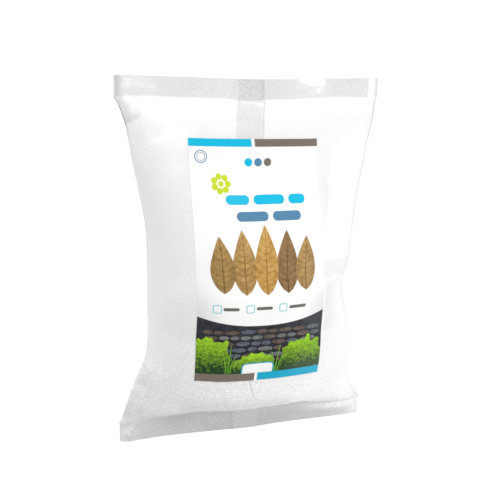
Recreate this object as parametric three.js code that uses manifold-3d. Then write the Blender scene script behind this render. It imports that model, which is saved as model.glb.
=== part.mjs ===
// White heat-sealed pillow pouch of dried leaves, lying on its back with its label up.
// Millimetres: +X across the pouch, +Y towards its top seal, +Z up out of its front.
// The origin is on the surface it lies on, under the middle of the pouch.
import * as THREE from 'three';
import { mergeVertices } from 'three/addons/utils/BufferGeometryUtils.js';
import Module from 'manifold-3d';

// Pouch: one web of film, wrapped round, lapped down the front and sealed across both ends
const flatWidth = 180; // across the end seals, and of the whole pouch while it is empty
const pouchLength = 250; // filled, over both end seals
const sealDepth = 15; // of each end seal
const sealHeight = 31; // of both end seals above the surface it lies on
const sealHalf = 0.6; // half the thickness of an end seal
const sealOpening = 3; // over which its two layers part towards the pillow
const sealCover = 0.25; // how far its inner edge laps over each face of the pillow
const filmThickness = 0.5;
const gap = 0.3; // between touching pieces, and between the two layers of the lap

// Pillow: its plan narrows from each end seal to a waist, and its girth stays that of the film.
// Each pair is a place along the pouch and half the width there, from the bottom up.
const leftPlan = [
  [-110, 89.5], [-95, 83.9], [-80, 78.3], [-65, 71.3], [-50, 69.5], [-25, 69.7], [0, 69.5],
  [25, 70.3], [50, 74.8], [75, 80.1], [95, 83.9], [110, 89.5],
];
// the right edge is pushed in at -18, beside the label's lower half
const rightPlan = [
  [-110, 89.5], [-95, 83.2], [-80, 79.9], [-65, 76.5], [-50, 73.5], [-40, 72.7], [-32, 69.9],
  [-25, 67.6], [-18, 66.1], [-11, 66.1], [-4, 68.4], [4, 70.9], [15, 71.6], [25, 73.2],
  [50, 77.4], [75, 83.1], [95, 87.2], [110, 89.5],
];
const sidePower = 2.3; // how square a cross-section is
const roundEdge = 0.43; // power of its side edges where the pouch is full
const flatEdge = 1.5; // and beside the end seals, where the corners are flat ears
const earLength = 45; // over which the ears fill out
const closedHalf = 1.3; // half the depth left at an end seal
const swellLength = 5; // over which the film leaves the seal
const bottomShares = { front: 1.3, back: 0.86 }; // depths either side of the seals' plane
const topShares = { front: 0.62, back: 1.1 }; // and at the top, where the front is emptier
const fullUpTo = -20; // the height from which they change

// Top seal: its middle is drawn down by the film arching over the contents
const sealBow = 3;
const bowFrom = 85;

// Lap seam: the web's free edge lies on the front, on top of its other edge
const lapWidth = 18.5;
const upperDrift = 21; // how far the seam wanders to the left between the end seals
const lowerDrift = 29; // and in the lower half
const driftBlend = 60; // either side of the middle, over which one becomes the other
const lapX = -1.8; // middle of the lap at the end seals
const lapRise = 4; // beside the free edge, over which the lower layer comes up

// Label: a sticker that follows the front
const labelWidth = 86;
const labelHeight = 157.5;
const labelX = -2.9;
const labelY = 7.6;
const labelTurn = 0.5; // degrees, stuck on a little askew
const labelThickness = 0.35;
const labelLift = 0.5; // measured straight up, so that the gap across it is about 0.3 mm or more

// Leaves: dried blades stacked flat, all bent to one shallow trough
const leafCount = 20;
const leafLength = 148; // blade and stalk of the longest
const leafWidth = 92; // of the widest
const bladeThickness = 0.6;
const ribDepth = 0.4; // the midrib stands out of the underside
const leafPitch = 1.45;
const stalkHalf = 1.4; // half the width of the stalk
const stalkShare = 0.08; // of the leaf's length
const leafSpread = 4; // how far the leaves lie from the middle of the stack
const leafTurn = 8; // degrees either way
const stackY = -7; // middle of the stack
const troughRadius = 190; // of the trough across the pouch
const troughRise = 7; // of the stack's ends
const troughReach = 75; // where the ends have that rise
const troughPower = 2.2; // how late the ends begin to rise
const leafSeed = 7;

// How finely each surface is split
const quarterSteps = 10;
const lapSteps = 3;
const lengthSteps = 44;
const girthSteps = 48;
const sealColumns = 24;
const labelColumns = 12;
const labelRows = 26;
const leafRows = 12;

const sealEdge = pouchLength / 2 - sealDepth; // where an end seal meets the pillow
const { lerp, smoothstep, degToRad } = THREE.MathUtils;

function steps(count, from, to) {
  return Array.from({ length: count + 1 }, (_, i) => lerp(from, to, i / count));
}

function fromSeal(y) {
  return Math.max(0, sealEdge - Math.abs(y));
}

// A smooth curve through a table of pairs, level beyond its two ends
function smoothThrough(table, place) {
  const last = table.length - 1;
  const at = THREE.MathUtils.clamp(place, table[0][0], table[last][0]);
  const slopes = table.map((pair, i) => {
    const [a, b] = [table[Math.max(0, i - 1)], table[Math.min(last, i + 1)]];
    return (b[1] - a[1]) / (b[0] - a[0]);
  });
  const i = Math.min(last - 1, Math.max(0, table.findIndex((pair) => pair[0] > at) - 1));
  const next = at >= table[last][0] ? last : i + 1;
  const [from, to] = [table[next - 1], table[next]];
  const width = to[0] - from[0];
  const t = (at - from[0]) / width;
  const bend = width * ((1 - t) * slopes[next - 1] - t * slopes[next]);
  return lerp(from[1], to[1], t * t * (3 - 2 * t)) + t * (1 - t) * bend;
}

// half the width of the plan, on the left for a negative x and on the right for any other
function halfWidth(x, y) {
  return smoothThrough(x < 0 ? leftPlan : rightPlan, y);
}

function edgePower(y) {
  return lerp(flatEdge, roundEdge, smoothstep(fromSeal(y), 0, earLength));
}

// depth on one side of the seals' plane, against that of an even pillow
function shareOf(layer, y) {
  return lerp(bottomShares[layer], topShares[layer], smoothstep(y, fullUpTo, sealEdge));
}

// height of a cross-section's curve over the seals' plane, for a depth of 1 in its middle
function crown(x, half, power) {
  return Math.max(0, 1 - Math.abs(x / half) ** sidePower) ** power;
}

function girth(y, depth) {
  const power = edgePower(y);
  let length = 0;
  for (const [side, layer] of [[-1, 'front'], [1, 'front'], [1, 'back'], [-1, 'back']]) {
    const half = halfWidth(side, y);
    const share = shareOf(layer, y);
    let before = [half, 0];
    for (const angle of steps(girthSteps, 0, Math.PI / 2).slice(1)) {
      const x = half * Math.cos(angle);
      const here = [x, depth * share * crown(x, half, power)];
      length += Math.hypot(here[0] - before[0], here[1] - before[1]);
      before = here;
    }
  }
  return length;
}

// the depth that makes the section's girth twice the flat width, found by halving
function evenDepth(y) {
  let low = 0;
  let high = flatWidth / 2;
  for (let i = 0; i < 24; i += 1) {
    const middle = (low + high) / 2;
    if (girth(y, middle) < 2 * flatWidth) low = middle;
    else high = middle;
  }
  return low;
}

function depthAt(y, layer) {
  const swell = 1 - Math.exp(-fromSeal(y) / swellLength);
  return lerp(closedHalf, evenDepth(y) * shareOf(layer, y), swell);
}

function frontHeight(x, y) {
  return sealHeight + depthAt(y, 'front') * crown(x, halfWidth(x, y), edgePower(y));
}

// the seal's bow, applied to the end of the pillow and to the seal alike
function bowed(x, y, z) {
  const bow = sealBow * (1 - (x / (flatWidth / 2)) ** 2) * smoothstep(y, bowFrom, sealEdge);
  return new THREE.Vector3(x, y - bow, z);
}

// Two grids of points, face to face, closed round their rims
function slab(upper, lower) {
  const rows = upper.length;
  const columns = upper[0].length;
  const at = (row, column, side) => side * rows * columns + row * columns + column;
  const quad = (a, b, c, d) => [a, b, c, a, c, d];
  const index = [];
  for (let r = 0; r + 1 < rows; r += 1) {
    for (let c = 0; c + 1 < columns; c += 1) {
      index.push(...quad(at(r, c, 0), at(r, c + 1, 0), at(r + 1, c + 1, 0), at(r + 1, c, 0)));
      const under = [at(r, c, 1), at(r, c + 1, 1), at(r + 1, c + 1, 1), at(r + 1, c, 1)];
      index.push(under[0], under[2], under[1], under[0], under[3], under[2]);
    }
    const last = columns - 1;
    index.push(...quad(at(r, 0, 1), at(r, 0, 0), at(r + 1, 0, 0), at(r + 1, 0, 1)));
    index.push(...quad(at(r, last, 0), at(r, last, 1), at(r + 1, last, 1), at(r + 1, last, 0)));
  }
  for (let c = 0; c + 1 < columns; c += 1) {
    const end = rows - 1;
    index.push(...quad(at(0, c, 1), at(0, c + 1, 1), at(0, c + 1, 0), at(0, c, 0)));
    index.push(...quad(at(end, c, 0), at(end, c + 1, 0), at(end, c + 1, 1), at(end, c, 1)));
  }
  const points = [...upper.flat(), ...lower.flat()];
  const geometry = new THREE.BufferGeometry().setFromPoints(points);
  geometry.setIndex(index);
  return geometry;
}

// One cross-section of the film, from the lap's lower edge round to its free edge
function filmSection(y) {
  const drift = lerp(lowerDrift, upperDrift, smoothstep(y, -driftBlend, driftBlend));
  const middle = lapX - drift * Math.max(0, 1 - (y / sealEdge) ** 2);
  const half = lapWidth / 2;
  const under = filmThickness + gap;
  const places = [];
  const lapEdges = [middle - half, middle + half];
  for (const x of [...steps(lapSteps, ...lapEdges), middle + half + gap]) {
    places.push({ x, layer: 'front', under });
  }
  const right = halfWidth(1, y);
  const left = halfWidth(-1, y);
  const rightStart = Math.acos((middle + half + lapRise) / right);
  const leftStart = Math.acos((half - middle) / left);
  for (const angle of steps(quarterSteps, rightStart, 0)) {
    places.push({ x: right * Math.cos(angle), layer: 'front', under: 0 });
  }
  for (const angle of steps(quarterSteps, 0, Math.PI / 2).slice(1)) {
    places.push({ x: right * Math.cos(angle), layer: 'back', under: 0 });
  }
  for (const angle of steps(quarterSteps, Math.PI / 2, 0).slice(1)) {
    places.push({ x: -left * Math.cos(angle), layer: 'back', under: 0 });
  }
  for (const angle of steps(quarterSteps, 0, leftStart).slice(1)) {
    places.push({ x: -left * Math.cos(angle), layer: 'front', under: 0 });
  }
  for (const x of steps(lapSteps, ...lapEdges).slice(1)) {
    places.push({ x, layer: 'front', under: 0 });
  }
  const outer = [];
  const inner = [];
  for (const { x, layer, under: drop } of places) {
    const sideHalf = halfWidth(x, y);
    const depth = depthAt(y, layer);
    const rise = crown(x, sideHalf, edgePower(y));
    const sign = layer === 'front' ? 1 : -1;
    const z = sealHeight + sign * depth * rise - drop;
    const insideZ = sealHeight + sign * (depth - filmThickness) * rise - drop;
    const insideX = x * (1 - filmThickness / sideHalf);
    outer.push(bowed(x, y, Math.max(0, z)));
    inner.push(bowed(insideX, y, Math.max(filmThickness, insideZ)));
  }
  return { outer, inner };
}

function filmTube() {
  const reach = sealEdge + 1;
  const sections = steps(lengthSteps, -1, 1).map((t) => {
    const eased = 0.6 * t + 0.4 * Math.sin((t * Math.PI) / 2);
    return filmSection(reach * eased);
  });
  return slab(sections.map((s) => s.outer), sections.map((s) => s.inner));
}

// An end seal: both layers pressed together, and parted where the pillow begins
function endSeal(sign) {
  const upper = [];
  const lower = [];
  for (const distance of [sealDepth, sealDepth * 0.6, sealOpening, 1, 0]) {
    const y = sign * (sealEdge + distance);
    const open = 1 - smoothstep(distance, 1, sealOpening);
    const across = steps(sealColumns, -flatWidth / 2, flatWidth / 2);
    const half = (x) => {
      const film = closedHalf * crown(x, halfWidth(x, sealEdge), flatEdge);
      return lerp(sealHalf, film + sealCover, open);
    };
    upper.push(across.map((x) => bowed(x, y, sealHeight + half(x))));
    lower.push(across.map((x) => bowed(x, y, sealHeight - half(x))));
  }
  if (sign > 0) {
    upper.reverse();
    lower.reverse();
  }
  return slab(upper, lower);
}

const wasm = await Module();
wasm.setup();

function toSolid(geometry) {
  const merged = mergeVertices(geometry);
  return new wasm.Manifold(new wasm.Mesh({
    numProp: 3,
    vertProperties: new Float32Array(merged.attributes.position.array),
    triVerts: new Uint32Array(merged.index.array),
  }));
}

function toGeometry(solid) {
  const mesh = solid.getMesh();
  const geometry = new THREE.BufferGeometry();
  geometry.setAttribute('position', new THREE.BufferAttribute(mesh.vertProperties, 3));
  geometry.setIndex(new THREE.BufferAttribute(mesh.triVerts, 1));
  return geometry;
}

function pouchFilm() {
  const tube = toSolid(filmTube());
  const sealed = tube.add(toSolid(endSeal(1))).add(toSolid(endSeal(-1)));
  return toGeometry(sealed);
}

// A point of the label, from its own middle, at a height over the film
function onFront(across, along, lift) {
  const place = new THREE.Vector2(across, along).rotateAround(new THREE.Vector2(), degToRad(labelTurn));
  const x = labelX + place.x;
  const y = labelY + place.y;
  return new THREE.Vector3(x, y, frontHeight(x, y) + lift);
}

function frontLabel() {
  const upper = [];
  const lower = [];
  for (const along of steps(labelRows, -labelHeight / 2, labelHeight / 2)) {
    const row = steps(labelColumns, -labelWidth / 2, labelWidth / 2);
    upper.push(row.map((across) => onFront(across, along, labelLift + labelThickness)));
    lower.push(row.map((across) => onFront(across, along, labelLift)));
  }
  return slab(upper, lower);
}

// Repeatable draws between -1 and 1
function seededDraws(seed) {
  let state = seed;
  return () => {
    state = (state * 16807) % 2147483647;
    return (2 * state) / 2147483647 - 1;
  };
}

// The trough that the whole stack is bent to, at the lowest leaf's blade
function trough(x, y) {
  const across = x ** 2 / (2 * troughRadius);
  const along = troughRise * (Math.abs(y - stackY) / troughReach) ** troughPower;
  return filmThickness + gap + ribDepth + across + along;
}

// Half the width of an obovate blade, from its stalk (0) to its tip (1)
function bladeHalf(share, width) {
  const blade = Math.max(0, (share - stalkShare) / (1 - stalkShare));
  const outline = Math.sin(Math.PI * Math.min(blade, 0.995) ** 1.35) ** 0.8;
  return Math.max(stalkHalf, (width / 2) * outline);
}

function leafBlade({ length, width, turn, shiftX, shiftY }) {
  const upper = [];
  const lower = [];
  for (const share of steps(leafRows, 0, 1)) {
    const half = bladeHalf(share, width);
    const across = [-1, -0.45, 0, 0.45, 1];
    const places = across.map((side) => {
      const along = (share - 0.5) * length;
      const x = shiftX + side * half * Math.cos(turn) - along * Math.sin(turn);
      const y = stackY + shiftY + side * half * Math.sin(turn) + along * Math.cos(turn);
      return { x, y, rib: side === 0 ? ribDepth : 0 };
    });
    upper.push(places.map(({ x, y }) => new THREE.Vector3(x, y, trough(x, y) + bladeThickness)));
    lower.push(places.map(({ x, y, rib }) => new THREE.Vector3(x, y, trough(x, y) - rib)));
  }
  return slab(upper, lower);
}

function leafMeshes(materials) {
  const draw = seededDraws(leafSeed);
  return Array.from({ length: leafCount }, (_, i) => {
    const flipped = i % 2 === 0 ? 0 : Math.PI; // stalks lie by turns at either end
    const geometry = leafBlade({
      length: leafLength * (0.95 + 0.05 * draw()),
      width: leafWidth * (0.94 + 0.06 * draw()),
      turn: flipped + degToRad(leafTurn * draw()),
      shiftX: leafSpread * draw(),
      shiftY: leafSpread * draw(),
    });
    const leaf = new THREE.Mesh(geometry, materials[i % materials.length]);
    leaf.name = `leaf_${String(i + 1).padStart(2, '0')}`;
    leaf.position.z = i * leafPitch;
    return leaf;
  });
}

const whiteFilm = new THREE.MeshStandardMaterial({ color: '#f4f4f3', roughness: 0.5, metalness: 0 });
const whiteSticker = new THREE.MeshStandardMaterial({ color: '#fbfbfa', roughness: 0.4, metalness: 0 });
const tanLeaf = new THREE.MeshStandardMaterial({ color: '#a5713d', roughness: 0.8, metalness: 0 });
const darkLeaf = new THREE.MeshStandardMaterial({ color: '#7d5230', roughness: 0.8, metalness: 0 });

const pouch = new THREE.Group();

const film = new THREE.Mesh(pouchFilm(), whiteFilm);
film.name = 'pouch_film';
pouch.add(film);

const label = new THREE.Mesh(frontLabel(), whiteSticker);
label.name = 'front_label';
pouch.add(label);

pouch.add(...leafMeshes([tanLeaf, darkLeaf]));

export default pouch;
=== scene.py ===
import math

import bmesh
import bpy
import numpy as np
from mathutils import Matrix, Vector


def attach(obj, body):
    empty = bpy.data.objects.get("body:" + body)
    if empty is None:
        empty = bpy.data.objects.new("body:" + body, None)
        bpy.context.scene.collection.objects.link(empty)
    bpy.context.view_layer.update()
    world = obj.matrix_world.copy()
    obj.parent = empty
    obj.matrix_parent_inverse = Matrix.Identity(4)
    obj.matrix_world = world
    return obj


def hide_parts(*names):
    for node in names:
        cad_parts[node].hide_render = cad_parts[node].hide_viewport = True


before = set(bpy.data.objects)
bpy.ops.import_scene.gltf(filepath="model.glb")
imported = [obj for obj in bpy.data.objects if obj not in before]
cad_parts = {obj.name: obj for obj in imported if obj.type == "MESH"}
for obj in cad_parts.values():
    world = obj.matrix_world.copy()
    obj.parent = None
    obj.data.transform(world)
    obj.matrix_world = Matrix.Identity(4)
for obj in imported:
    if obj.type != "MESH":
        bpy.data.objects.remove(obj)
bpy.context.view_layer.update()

# White heat-sealed pouch of dried leaves, lying on its back with its label up.
# Sizes are in millimetres until a mesh is made.
mm = 0.001


def lerp(first, second, share):
    return first + (second - first) * share


def smoothStep(value, low, high):
    share = np.clip((value - low) / (high - low), 0, 1)
    return share * share * (3 - 2 * share)


# Shader helpers

def toLinear(hexColour, dim=1):
    parts = [int(hexColour[i:i + 2], 16) / 255 for i in (1, 3, 5)]
    return tuple(dim * (c / 12.92 if c <= 0.04045 else ((c + 0.055) / 1.055) ** 2.4) for c in parts) + (1,)


def addNode(tree, kind, inputs=None, output=None, **settings):
    # a hex colour is made linear; gives the socket of the output asked for, or else the node
    node = tree.nodes.new("ShaderNode" + kind)
    for name, value in settings.items():
        setattr(node, name, value)
    for name, value in (inputs or {}).items():
        if isinstance(value, bpy.types.NodeSocket):
            tree.links.new(value, node.inputs[name])
        else:
            node.inputs[name].default_value = toLinear(value) if isinstance(value, str) else value
    return node.outputs[output] if output is not None else node


def newMaterial(name, roughness, specular=0.5):
    material = bpy.data.materials.new(name)
    material.use_nodes = True
    tree = material.node_tree
    shader = tree.nodes["Principled BSDF"]
    shader.inputs["Roughness"].default_value = roughness
    shader.inputs["Specular IOR Level"].default_value = specular
    place = addNode(tree, "TexCoord", output="Object")
    return material, tree, shader, place


# The pouch's form, the same as the solid's, with the finer forms of its film

pillow = {
    "halfFlat": 90,  # half the width across the end seals
    "sealEdge": 110,  # where an end seal meets the pillow
    "sealEnd": 125,
    "sealHeight": 31,
    # half the width on either side, from the bottom seal up to the top one
    "leftPlan": ((-110, 89.5), (-95, 83.9), (-80, 78.3), (-65, 71.3), (-50, 69.5), (-25, 69.7), (0, 69.5),
                 (25, 70.3), (50, 74.8), (75, 80.1), (95, 83.9), (110, 89.5)),
    "rightPlan": ((-110, 89.5), (-95, 83.2), (-80, 79.9), (-65, 76.5), (-50, 73.5), (-40, 72.7), (-32, 69.9),
                  (-25, 67.6), (-18, 66.1), (-11, 66.1), (-4, 68.4), (4, 70.9), (15, 71.6), (25, 73.2),
                  (50, 77.4), (75, 83.1), (95, 87.2), (110, 89.5)),
    "sidePower": 2.3,
    "roundEdge": 0.43,
    "flatEdge": 1.5,
    "earLength": 45,
    "swellLength": 5,
    "bottomShares": (1.3, 0.86),  # depth in front and at the back of the seals' plane
    "topShares": (0.62, 1.1),
    "fullUpTo": -20,
    # how far up each edge of the seals lies from level, from left to right
    "topOuter": ((-90, -0.6), (-80, -0.6), (-68, -0.9), (-35, -1.7), (0, -2.5), (33, -2.2), (61, -1.6),
                 (75, -1.3), (90, -0.9)),
    "topInner": ((-90, 0.8), (-78, 1.8), (-61, 1.4), (-45, 0.85), (-29, 0.4), (-12, -0.6), (-4, -1.2),
                 (12, -0.8), (28, -0.3), (44, 0.4), (61, 1.3), (77, 1.1), (90, 0.9)),
    "bottomOuter": ((-90, 0.8), (-86, -0.7), (-76, -0.8), (-60, -0.1), (-40, -0.4), (-15, -1.2), (8, -1.2),
                    (30, 0), (50, 0.2), (70, 0.1), (90, -0.2)),
    "bottomInner": ((-90, -1.5), (-70, -1), (-52, -0.4), (-36, 1.2), (-18, 1.2), (0, 1.7), (12, 1.8),
                    (28, 1.1), (38, 0.3), (48, -1.4), (58, -2.7), (70, -3.4), (78, -3.6), (86, -1),
                    (90, 0)),
    "driftFrom": 85,  # from here the film follows them
    "skin": 0.3,  # half the thickness of the two layers lying together
    "skinPower": 90,  # how squarely they end at the side edges
    # the leaves inside press the film out unevenly: height; waves in radians a mm across and up, and phase
    "lumpHeight": 0.11,
    "lumpWaves": ((0.11, 0.05, 0.4), (-0.07, 0.09, 2.1), (0.16, -0.03, 4), (0.05, 0.14, 1.2),
                  (-0.19, 0.12, 5.3)),
    "lumpsFrom": (4, 30),  # they grow over this distance from a seal
}


def fromSeal(y):
    return np.maximum(0, pillow["sealEdge"] - np.abs(y))


def smoothThrough(places, table):
    # a smooth curve through the table's values, level with its ends beyond them
    at, values = np.array(table, float).T
    slopes = np.gradient(values, at)
    places = np.clip(places, at[0], at[-1])
    i = np.clip(np.searchsorted(at, places) - 1, 0, len(at) - 2)
    width = at[i + 1] - at[i]
    t = (places - at[i]) / width
    bend = (1 - t) * (slopes[i] * width) - t * (slopes[i + 1] * width)
    step = values[i + 1] - values[i]
    return values[i] + step * t * t * (3 - 2 * t) + t * (1 - t) * bend


def straightThrough(places, table):
    return np.interp(places, *np.array(table, float).T)


def halfWidth(side, y):
    half = np.where(side < 0, smoothThrough(y, pillow["leftPlan"]), smoothThrough(y, pillow["rightPlan"]))
    return lerp(half, pillow["halfFlat"], smoothStep(np.abs(y), pillow["sealEdge"] - 3, pillow["sealEdge"]))


def edgePower(y):
    return lerp(pillow["flatEdge"], pillow["roundEdge"], smoothStep(fromSeal(y), 0, pillow["earLength"]))


def crown(x, half, power):
    return np.maximum(0, 1 - np.abs(x / half) ** pillow["sidePower"]) ** power


def sharesAt(y):
    blend = smoothStep(y, pillow["fullUpTo"], pillow["sealEdge"])
    return [lerp(low, high, blend) for low, high in zip(pillow["bottomShares"], pillow["topShares"])]


def evenDepth(y, steps=49, halvings=24):
    # the depth that keeps the section's girth at twice the flat width, found by halving
    angles = np.linspace(0, math.pi / 2, steps)[:, None]
    shares = sharesAt(y)
    power = edgePower(y)
    low, high = np.zeros_like(y), np.full_like(y, pillow["halfFlat"])
    for _ in range(halvings):
        middle = (low + high) / 2
        girth = 0
        for side in (-1, 1):
            half = halfWidth(side, y)
            x = half * np.cos(angles)
            for share in shares:
                z = middle * share * crown(x, half, power)
                girth = girth + np.hypot(np.diff(x, axis=0), np.diff(z, axis=0)).sum(0)
        short = girth < 4 * pillow["halfFlat"]
        low, high = np.where(short, middle, low), np.where(short, high, middle)
    return low


depthRows = np.linspace(-1, 1, 441) * pillow["sealEdge"]  # every half millimetre
depthTable = evenDepth(depthRows)


def depthsAt(y):
    even = np.interp(y, depthRows, depthTable)
    swell = 1 - np.exp(-fromSeal(y) / pillow["swellLength"])
    return [even * share * swell for share in sharesAt(y)]


def skinAt(x, half):
    return pillow["skin"] * np.maximum(0, 1 - np.abs(x / half) ** pillow["skinPower"]) ** 0.5


def frontHeight(x, y):
    half = halfWidth(x, y)
    bulge = depthsAt(y)[0] * crown(x, half, edgePower(y))
    return pillow["sealHeight"] + skinAt(x, half) + bulge + lumps(x, y)


def lumps(x, y):
    total = sum(np.sin(a * x + b * y + c) for a, b, c in pillow["lumpWaves"])
    return pillow["lumpHeight"] * total * smoothStep(fromSeal(y), *pillow["lumpsFrom"])


# Lap seam

lap = {
    "width": 17.9,
    # where its middle runs, from the bottom up
    "path": ((-125, 0.7), (-112, 0.6), (-106, -2.8), (-98, -7.8), (-84.6, -14.6), (-77, -17.3), (-69, -19.1),
             (-50, -22.5), (-25, -25), (0, -25), (30, -21.5), (60, -15), (87.5, -8), (99, -5.7),
             (102.4, -4.7), (107.4, -2.2), (111, -1.1), (125, -1.1)),
    "step": 0.5,  # how far its upper layer lies above the rest
    "softEdge": 4,  # over which the film comes up on the left
}


def lapMiddle(y):
    return smoothThrough(y, lap["path"])


def lapEdges(y):
    return lapMiddle(y) - lap["width"] / 2, lapMiddle(y) + lap["width"] / 2


def lapBump(x, y, leftRun, rightRun):
    # how far the lap lifts what lies on it, running out on either side of it
    low, high = lapEdges(y)
    return lap["step"] * smoothStep(x, low - leftRun, low) * (1 - smoothStep(x, high, high + rightRun))


# Creases and bends of the film

def alongLine(x, y, points):
    # signed distance from a line of points (positive on its left), and how far along it
    best = np.full(np.shape(x), np.inf)
    signed = share = np.zeros(np.shape(x))
    lengths = [math.dist(a, b) for a, b in zip(points, points[1:])]
    run = 0
    for (ax, ay), (bx, by), length in zip(points, points[1:], lengths):
        t = ((x - ax) * (bx - ax) + (y - ay) * (by - ay)) / length ** 2
        inside = np.clip(t, 0, 1)
        away = np.hypot(x - ax - inside * (bx - ax), y - ay - inside * (by - ay))
        cross = (bx - ax) * (y - ay) - (by - ay) * (x - ax)
        nearer = away < best
        best = np.where(nearer, away, best)
        signed = np.where(nearer, np.copysign(away, cross), signed)
        share = np.where(nearer, (run + t * length) / sum(lengths), share)
        run += length
    return signed, share


def withinOutline(x, y, outline, soft):
    # 1 inside, 0 outside, with an edge of the given softness
    closed = outline + outline[:1]
    away = np.abs(alongLine(x, y, closed)[0])
    inside = np.zeros(np.shape(x), bool)
    for (ax, ay), (bx, by) in zip(closed, closed[1:]):
        if ay != by:
            inside ^= ((ay > y) != (by > y)) & (x < ax + (y - ay) * (bx - ax) / (by - ay))
    return smoothStep(np.where(inside, away, -away), -soft / 2, soft / 2)


def lineWindow(share, fade=0.25):
    return smoothStep(share, -fade, fade) * (1 - smoothStep(share, 1 - fade, 1 + fade))


def valley(x, y, points, depth, width):
    away, share = alongLine(x, y, points)
    return -depth * np.exp(-(away / width) ** 2) * lineWindow(share)


def stepCrease(x, y, points, depth, reach, lip=0.7):
    # crisp on the line, and fading out to its left
    away, share = alongLine(x, y, points)
    low = np.exp(-np.maximum(away, 0) / reach)
    rise = smoothStep(away, -lip, lip) * np.exp(-lip / reach)
    return -depth * np.where(away > lip, low, rise) * lineWindow(share)


notchFold = [(67.3, -6.5), (60, -4), (52.5, -1.5), (42, -2.3), (36, 4)]
# points, depth, and the width of a valley or the reach of a step
frontCreases = [
    (stepCrease, [(-84, 92.8), (-79.4, 95.4), (-75, 97.5)], 1.1, 7),  # ear, top left
    (stepCrease, [(76, 99.5), (83.5, 94)], 0.7, 7),  # ear, top right
    (valley, notchFold, 0.7, 1.6),
    (valley, [(67, -14), (58, -15.5), (50, -13)], 0.5, 3),
    (stepCrease, [(-71, -71), (-68.9, -59.7), (-69.4, -50)], 0.45, 5),  # belly over the ear, bottom left
    (valley, [(-72, -79.3), (-76, -92)], -0.35, 1.3),
    (valley, [(-44.6, 99.4), (22, 99.6)], 0.12, 1.2),  # cross line under the top seal
    (valley, [(28, -110), (88, -110)], 0.35, 0.8),  # along the bottom seal
    (valley, [(-88, -110), (-50, -110)], 0.2, 0.8),
    (valley, [(58, -96), (70, -84), (73, -72)], 0.35, 3),
]
backCreases = [
    (valley, [(-62, 70), (-38, 52), (-30, 34)], 0.9, 4),
    (valley, [(60, 84), (44, 62)], 0.8, 4),
    (valley, [(58, -66), (36, -58), (22, -40)], 0.8, 4),
    (valley, [(-64, -82), (-50, -60)], 0.8, 4),
    (stepCrease, [(-72, -92), (-60, -100)], 0.7, 6),
]


def creases(x, y, lines):
    return sum(kind(x, y, *line) for kind, *line in lines)


# Short gathers that run into the seals
gathers = {
    "height": 0.16,
    "uneven": 0.4,  # share of the height that comes and goes
    "spacing": 8.5,
    "wander": 2.2,  # how unevenly they are spaced
    "reach": 8,  # over which they run out from a seal
    "start": 3,
}


def puckers(x, y, phase):
    size = gathers["height"] * (1 - gathers["uneven"] + gathers["uneven"] * np.sin(x / 17 + phase))
    gather = np.sin(2 * math.pi * x / gathers["spacing"] + gathers["wander"] * np.sin(x / 23 + phase))
    near = np.exp(-fromSeal(y) / gathers["reach"]) * smoothStep(fromSeal(y), 0, gathers["start"])
    return size * gather * near


# Bends of the seals and ears, which both layers share. An end is 1 at the top and -1 at the bottom,
# a side 1 on the right and -1 on the left
bends = {
    # end, height, length and phase of the waves in a seal
    "waves": ((1, 0.45, 13, 0.6), (-1, 0.55, 17, -1)),
    # end, side, height, where it starts across, over what width, power, where it starts and ends along
    "corners": ((-1, -1, 2.5, 74, 16, 2, 102, 123), (1, -1, -3.5, 85.5, 4.5, 1.5, 96, 112),
                (1, 1, -1.6, 71, 19, 2, 96, 112)),
    # height, place, and reach across and along
    "dents": ((0.9, -82, -119.5, 4, 3), (-0.5, 45, 115.7, 2.6, 2.2)),
    # height, place and reach of the top edge's droop, and where it starts and ends along
    "droop": (-1.3, 42, 9, 116, 125),
}


def sheetBends(x, y):
    z = 0
    for end, height, length, phase in bends["waves"]:
        grown = smoothStep(end * y, 98, 112) * smoothStep(end * y, 104, 125)
        z = z + height * np.sin(x / length + phase) * grown
    for end, side, height, start, width, power, low, high in bends["corners"]:
        z += height * np.clip((side * x - start) / width, 0, 1) ** power * smoothStep(end * y, low, high)
    for height, atX, atY, across, along in bends["dents"]:
        z += height * np.exp(-((x - atX) / across) ** 2 - ((y - atY) / along) ** 2)
    height, atX, across, low, high = bends["droop"]
    return z + height * np.exp(-((x - atX) / across) ** 2) * smoothStep(y, low, high)


def sealDrift(x, y):
    # the seals' edges aren't quite level, and the film beside them follows
    total = np.zeros(np.shape(x))
    for side, inner, outer in ((1, "topInner", "topOuter"), (-1, "bottomInner", "bottomOuter")):
        across = np.interp(side * y, (pillow["sealEdge"], pillow["sealEnd"]), (0, 1))
        drift = lerp(smoothThrough(x, pillow[inner]), smoothThrough(x, pillow[outer]), across)
        total += drift * smoothStep(side * y, pillow["driftFrom"], pillow["sealEdge"])
    return total


# Meshes

def newObject(name, data):
    made = bpy.data.objects.new(name, data)
    bpy.context.scene.collection.objects.link(made)
    return made


def meshPiece(name, points, faces, material, smooth=True, sharp=50):
    mesh = bpy.data.meshes.new(name)
    mesh.from_pydata((np.asarray(points, float) * mm).tolist(), [], faces)
    mesh.materials.append(material)
    if smooth:
        mesh.shade_smooth()
        mesh.set_sharp_from_angle(angle=math.radians(sharp))
    mesh.update()
    piece = newObject(name, mesh)
    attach(piece, "root")
    return piece


def slabPiece(name, upper, lower, material, sharp=50):
    # a thin closed sheet between two grids of points
    points = np.concatenate([upper.reshape(-1, 3), lower.reshape(-1, 3)])
    return meshPiece(name, points, slabFaces(*upper.shape[:2]), material, sharp=sharp)


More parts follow.
